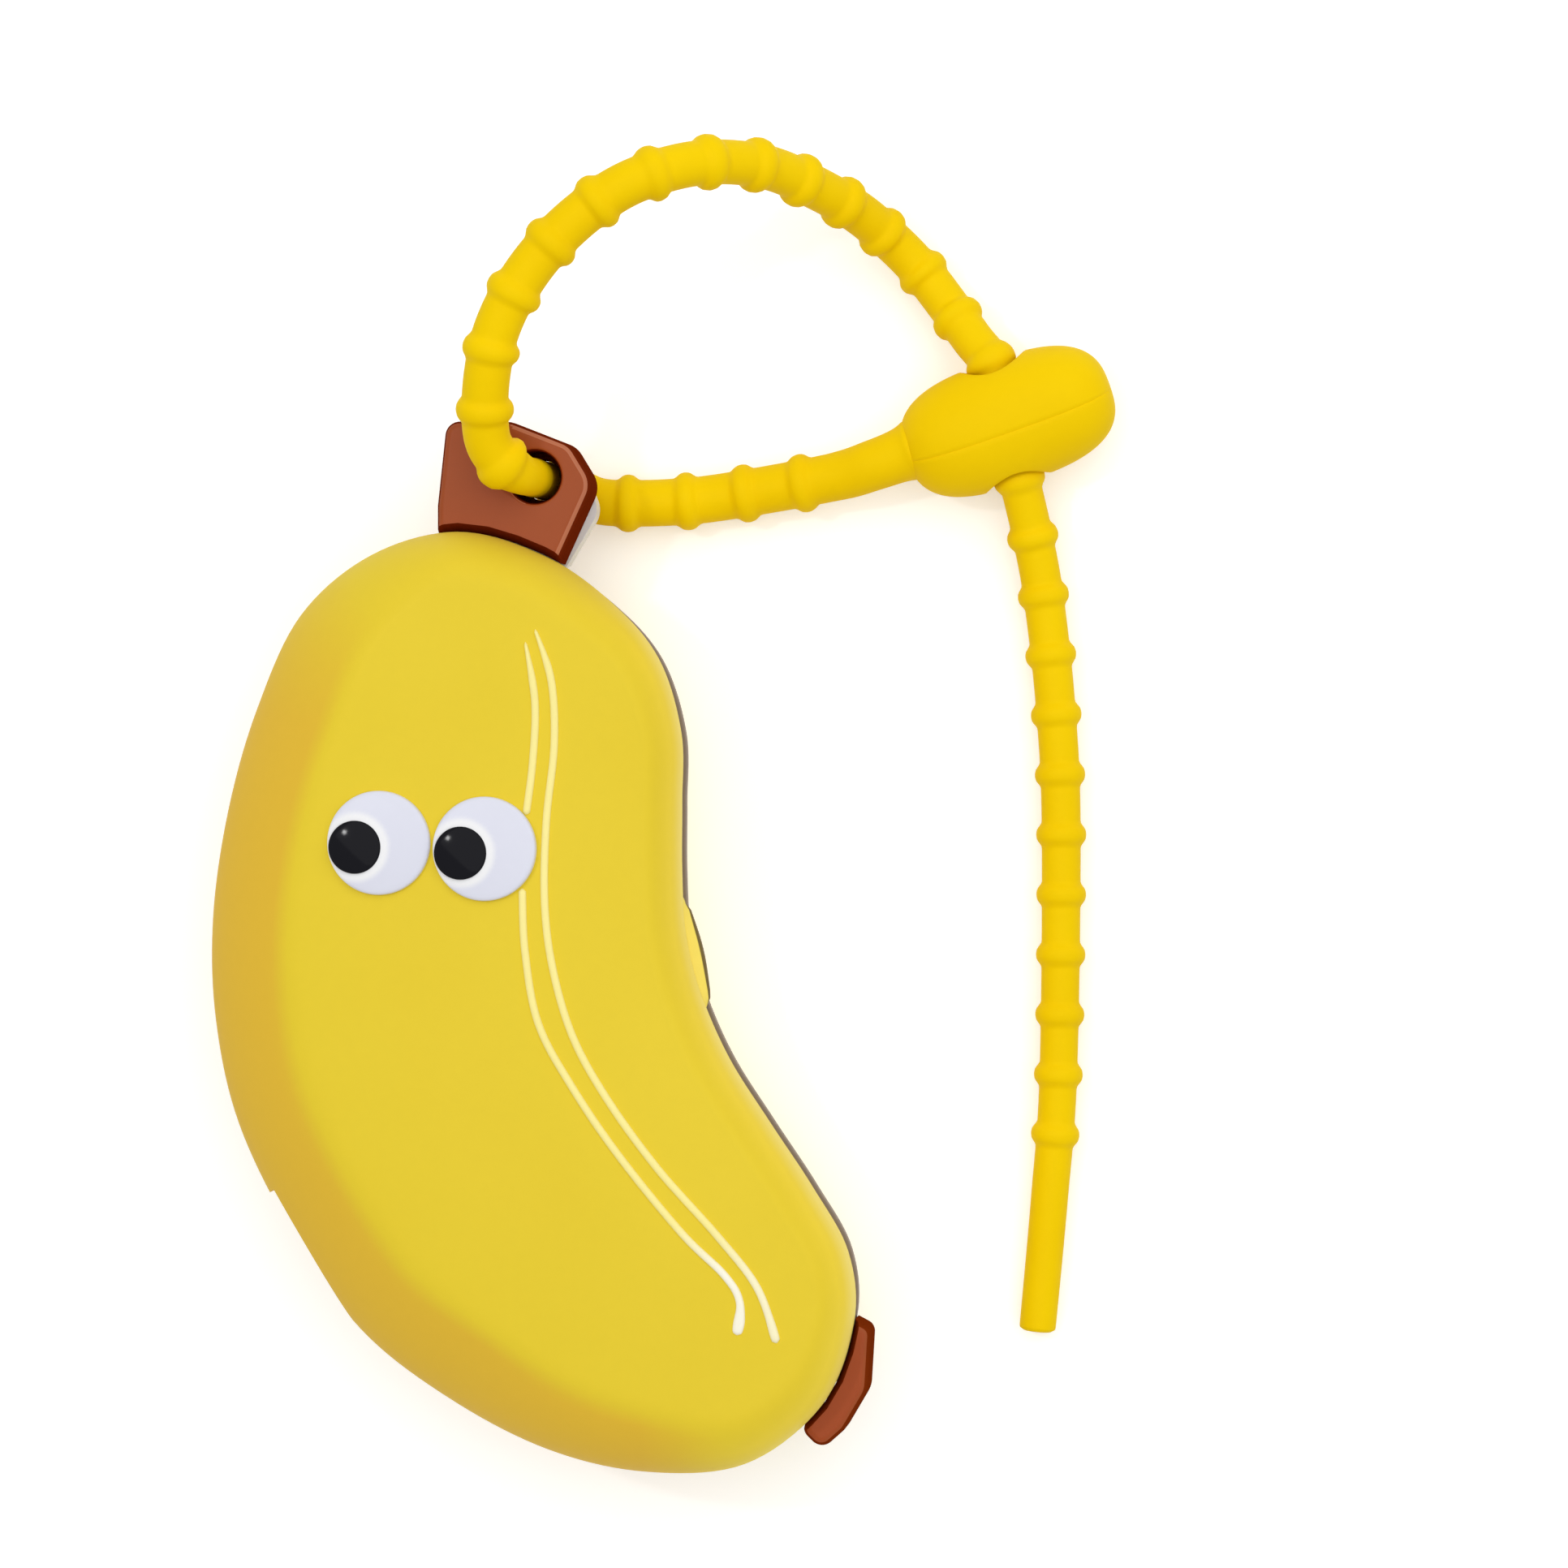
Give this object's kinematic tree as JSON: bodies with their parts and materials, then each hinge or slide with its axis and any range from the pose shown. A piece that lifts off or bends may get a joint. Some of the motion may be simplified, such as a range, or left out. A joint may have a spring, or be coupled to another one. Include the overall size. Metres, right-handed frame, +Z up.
{
  "type": "toothbrush travel case",
  "caption": "Banana-shaped hinged travel case for a short toothbrush, with stick-on eyes and a ribbed silicone strap through its stem.",
  "frame": {"origin": "middle of the closed case's bounding box at the table it lies on, without the strap", "axes": "+Z up out of the face, +Y towards the stem, +X towards the concave side"},
  "size_m": [0.0949, 0.1398, 0.0315],
  "materials": {
    "yellow_shell": "soft-touch matte",
    "white_lining": "satin",
    "brown_cap": "satin gloss",
    "pin_steel": "ground",
    "eye_white": "glossy, domed",
    "pupil_black": "glossy",
    "cream_line": "satin",
    "strap_silicone": "satin silicone"
  },
  "bodies": {
    "back": {"back_shell": "yellow_shell", "back_tray": "white_lining", "stem_front_cap": "brown_cap", "stem_back_cap": "brown_cap", "tip_cap": "brown_cap", "hinge_pin": "pin_steel", "strap_band": "strap_silicone", "strap_bead": "strap_silicone"},
    "lid": {"front_shell": "yellow_shell", "front_liner": "white_lining", "eye_white_left": "eye_white", "eye_white_right": "eye_white", "pupil_left": "pupil_black", "pupil_right": "pupil_black", "ridge_line_left": "cream_line", "ridge_line_right": "cream_line"}
  },
  "joints": [
    {"name": "lid_hinge", "type": "hinge", "parent": "back", "child": "lid", "pos_m": [-0.02334, -0.03116, 0.01315], "axis": [0.5075, -0.8616, 0], "range_deg": [0, 105]}
  ]
}
